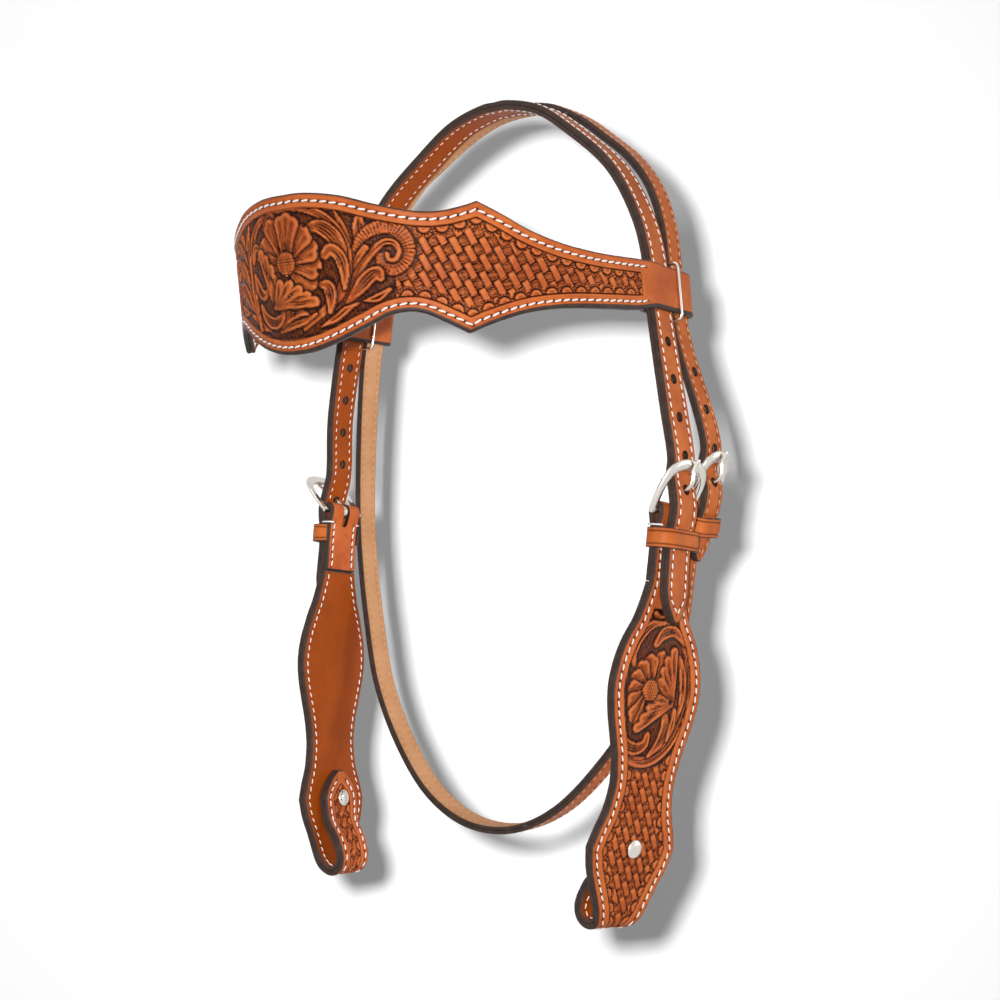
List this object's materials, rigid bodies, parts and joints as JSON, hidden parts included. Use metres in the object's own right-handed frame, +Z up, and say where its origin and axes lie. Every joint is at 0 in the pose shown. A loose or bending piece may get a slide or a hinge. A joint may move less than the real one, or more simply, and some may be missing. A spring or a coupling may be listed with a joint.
{
  "type": "western headstall",
  "caption": "Western headstall with shaped browband, shaped cheekpieces with screw-closed bit loops, and a buckled throatlatch that loops under the throat.",
  "frame": {"origin": "underside of the crown strap at the middle of the poll", "axes": "+Z up, -Y forward over the horse's forehead, +X to the horse's near side, where the throatlatch buckles"},
  "size_m": [0.2468, 0.1809, 0.3961],
  "materials": {
    "face_leather": "russet skirting leather, tooled, oiled and semi-gloss",
    "lining_leather": "smooth russet lining leather, satin",
    "flesh_leather": "natural flesh side, matt",
    "satin_nickel": "satin nickel plate"
  },
  "bodies": {
    "straps": {"crown_face": "face_leather", "crown_lining": "lining_leather", "throatlatch_face": "face_leather", "throatlatch_lining": "flesh_leather", "cheek_face_near": "face_leather", "cheek_lining_near": "lining_leather", "cheek_face_off": "face_leather", "cheek_lining_off": "lining_leather", "keeper_near": "face_leather", "keeper_off": "face_leather", "keeper_throatlatch": "face_leather", "bit_screw_post_near": "satin_nickel", "bit_screw_post_off": "satin_nickel"},
    "browband": {"browband_face": "face_leather", "browband_lining": "lining_leather"},
    "divider_near": {"browband_divider_near": "satin_nickel"},
    "divider_off": {"browband_divider_off": "satin_nickel"},
    "frame_near": {"buckle_near_frame": "satin_nickel"},
    "tongue_near": {"buckle_near_tongue": "satin_nickel"},
    "frame_off": {"buckle_off_frame": "satin_nickel"},
    "tongue_off": {"buckle_off_tongue": "satin_nickel"},
    "frame_throatlatch": {"buckle_throatlatch_frame": "satin_nickel"},
    "tongue_throatlatch": {"buckle_throatlatch_tongue": "satin_nickel"},
    "screw_near": {"bit_screw_near": "satin_nickel"},
    "screw_off": {"bit_screw_off": "satin_nickel"}
  },
  "joints": [
    {"name": "browband_slide", "type": "slide", "parent": "straps", "child": "browband", "axis": [0, 0.0322, 0.9995], "range_m": [-0.0012, 0.002]},
    {"name": "divider_near_slide", "type": "slide", "parent": "browband", "child": "divider_near", "axis": [-0.1174, 0.032, 0.9926], "range_m": [-0.0008, 0.0008]},
    {"name": "divider_off_slide", "type": "slide", "parent": "browband", "child": "divider_off", "axis": [0.1174, 0.032, 0.9926], "range_m": [-0.0008, 0.0008]},
    {"name": "frame_near_tilt", "type": "hinge", "parent": "straps", "child": "frame_near", "pos_m": [0.1048, -0.009, -0.1992], "axis": [0.0591, 0.9913, -0.1175], "range_deg": [0, 3]},
    {"name": "tongue_near_tilt", "type": "hinge", "parent": "frame_near", "child": "tongue_near", "pos_m": [0.1048, -0.009, -0.1992], "axis": [0.0591, 0.9913, -0.1175], "range_deg": [0, 3]},
    {"name": "frame_off_tilt", "type": "hinge", "parent": "straps", "child": "frame_off", "pos_m": [-0.1048, -0.009, -0.1992], "axis": [0.0591, -0.9913, 0.1175], "range_deg": [0, 3]},
    {"name": "tongue_off_tilt", "type": "hinge", "parent": "frame_off", "child": "tongue_off", "pos_m": [-0.1048, -0.009, -0.1992], "axis": [0.0591, -0.9913, 0.1175], "range_deg": [0, 3]},
    {"name": "frame_throatlatch_tilt", "type": "hinge", "parent": "straps", "child": "frame_throatlatch", "pos_m": [0.1042, 0.017, -0.1942], "axis": [0.0472, 0.9981, -0.0394], "range_deg": [0, 3]},
    {"name": "tongue_throatlatch_tilt", "type": "hinge", "parent": "frame_throatlatch", "child": "tongue_throatlatch", "pos_m": [0.1042, 0.017, -0.1942], "axis": [0.0472, 0.9981, -0.0394], "range_deg": [0, 3]},
    {"name": "screw_near_turn", "type": "hinge", "parent": "straps", "child": "screw_near", "pos_m": [0.09474, -0.02628, -0.35001], "axis": [-0.973, 0.1924, 0.1275], "continuous": true},
    {"name": "screw_off_turn", "type": "hinge", "parent": "straps", "child": "screw_off", "pos_m": [-0.09474, -0.02628, -0.35001], "axis": [0.973, 0.1924, 0.1275], "continuous": true}
  ]
}
